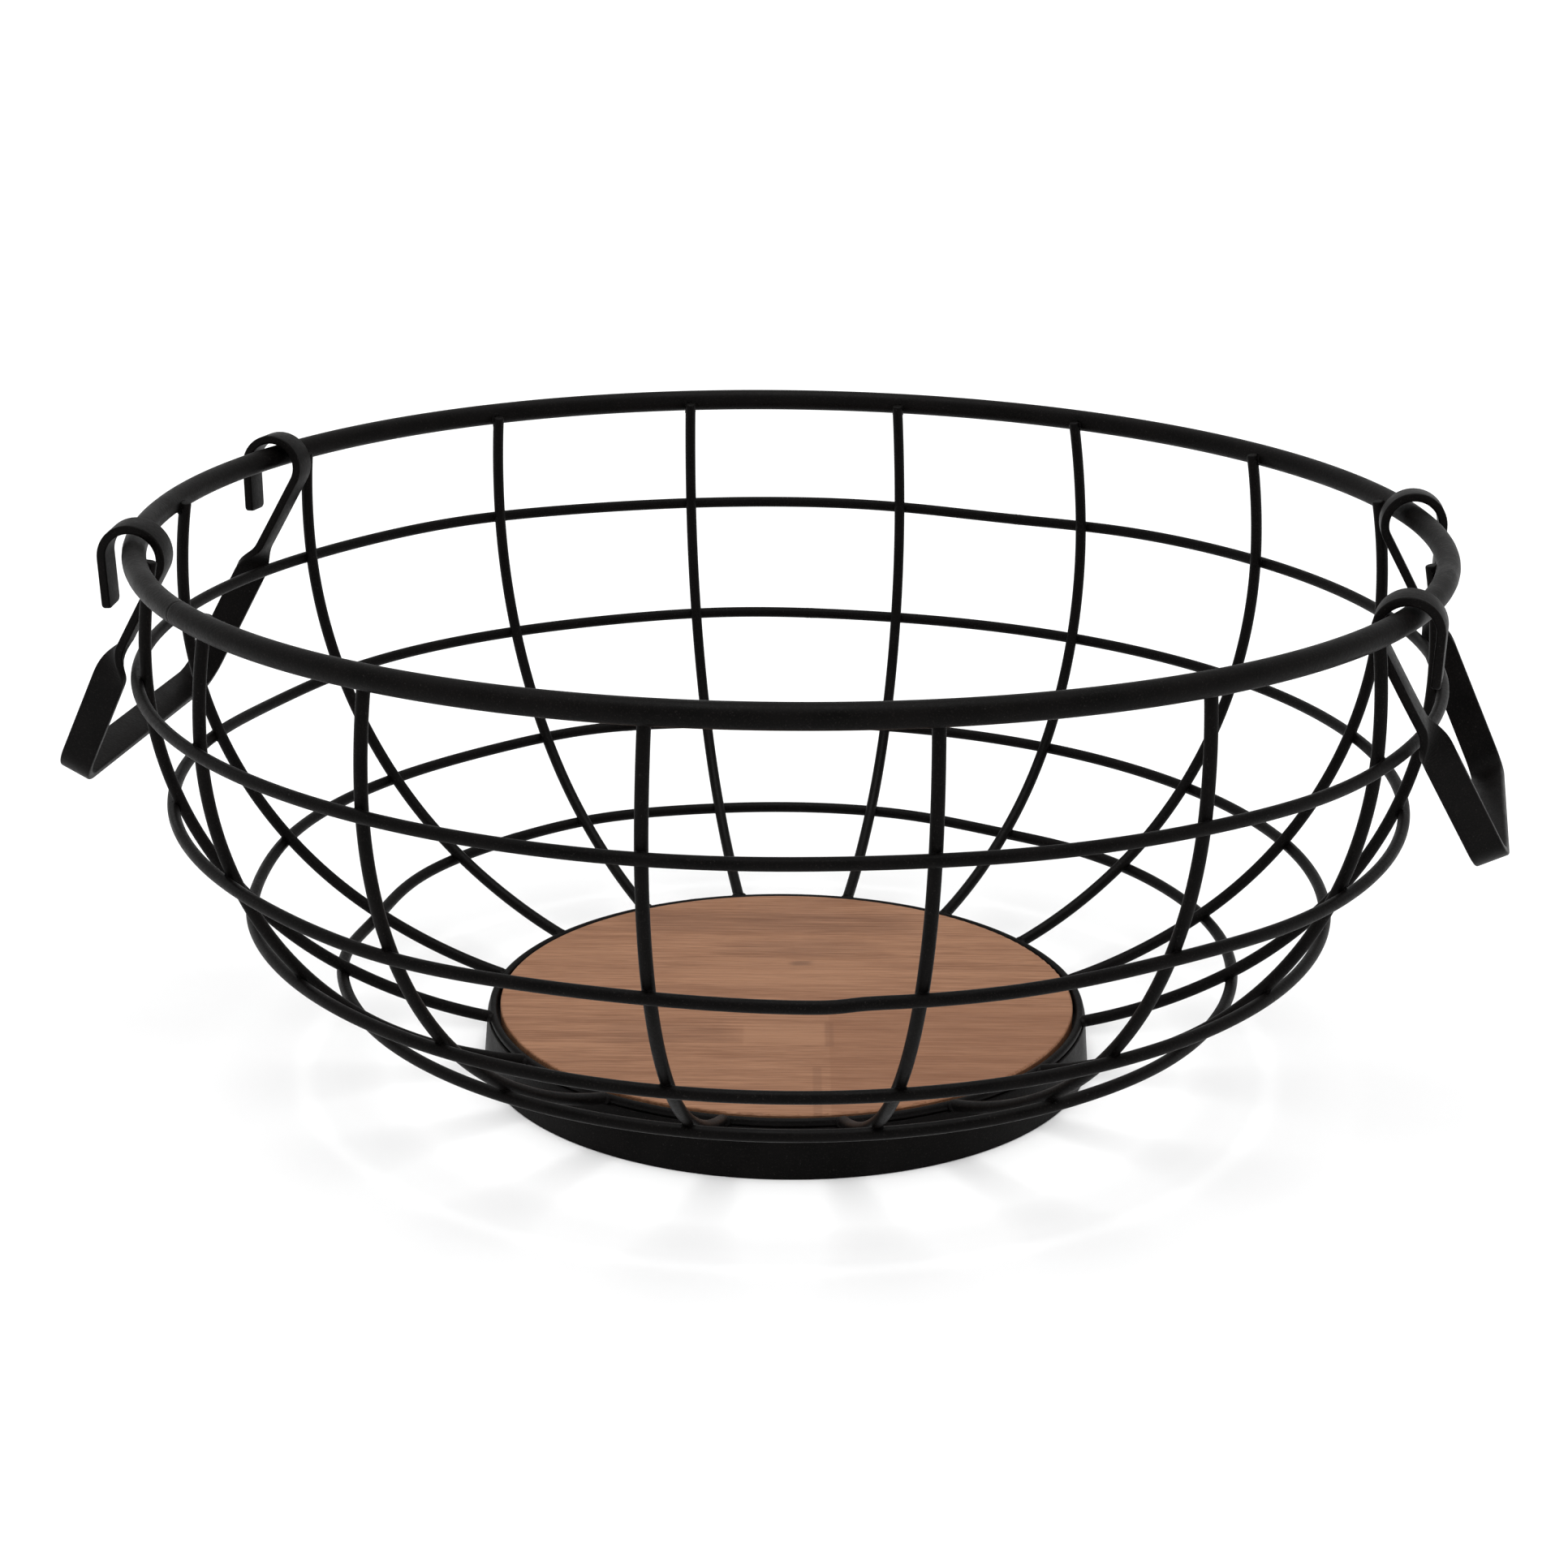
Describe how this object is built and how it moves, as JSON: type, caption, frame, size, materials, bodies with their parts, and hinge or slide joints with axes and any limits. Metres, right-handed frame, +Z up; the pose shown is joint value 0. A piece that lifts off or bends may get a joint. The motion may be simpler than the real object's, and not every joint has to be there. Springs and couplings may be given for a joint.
{
  "type": "wire produce basket",
  "caption": "Round open bowl of black welded wire with a thick rim, a flat wood base on a sheet metal foot, and two swinging strip handles hooked over the rim.",
  "frame": {"origin": "on the floor plane, at the middle of the foot", "axes": "+Z up out of the bowl's mouth, +X through the middle of the right handle, +Y along the right handle's hinge line"},
  "size_m": [0.3299, 0.3002, 0.1351],
  "materials": {
    "wire": "satin black powder coat",
    "foot_sheet": "satin black powder coat",
    "handle_strip": "satin black powder coat",
    "wood": "clear matt, straight grain",
    "screw": "zinc plated"
  },
  "bodies": {
    "basket": {"rim_ring": "wire", "hoop_1": "wire", "hoop_2": "wire", "hoop_3": "wire", "hoop_4": "wire", "rib_01": "wire", "rib_02": "wire", "rib_03": "wire", "rib_04": "wire", "rib_05": "wire", "rib_06": "wire", "rib_07": "wire", "rib_08": "wire", "rib_09": "wire", "rib_10": "wire", "rib_11": "wire", "rib_12": "wire", "rib_13": "wire", "rib_14": "wire", "rib_15": "wire", "rib_16": "wire", "base_ring": "wire", "foot_band": "foot_sheet", "wood_base": "wood", "support_tab_1": "wire", "support_tab_2": "wire", "support_tab_3": "wire", "support_tab_4": "wire", "base_screws": "screw"},
    "right_handle": {"handle_right": "handle_strip"},
    "left_handle": {"handle_left": "handle_strip"}
  },
  "joints": [
    {"name": "right_handle_swing", "type": "hinge", "parent": "basket", "child": "right_handle", "pos_m": [0.13954, 0, 0.1272], "axis": [0, -1, 0], "range_deg": [-2, 326]},
    {"name": "left_handle_swing", "type": "hinge", "parent": "basket", "child": "left_handle", "pos_m": [-0.1395, -0.00292, 0.1272], "axis": [-0.0209, 0.9998, 0], "range_deg": [-2, 326]}
  ]
}
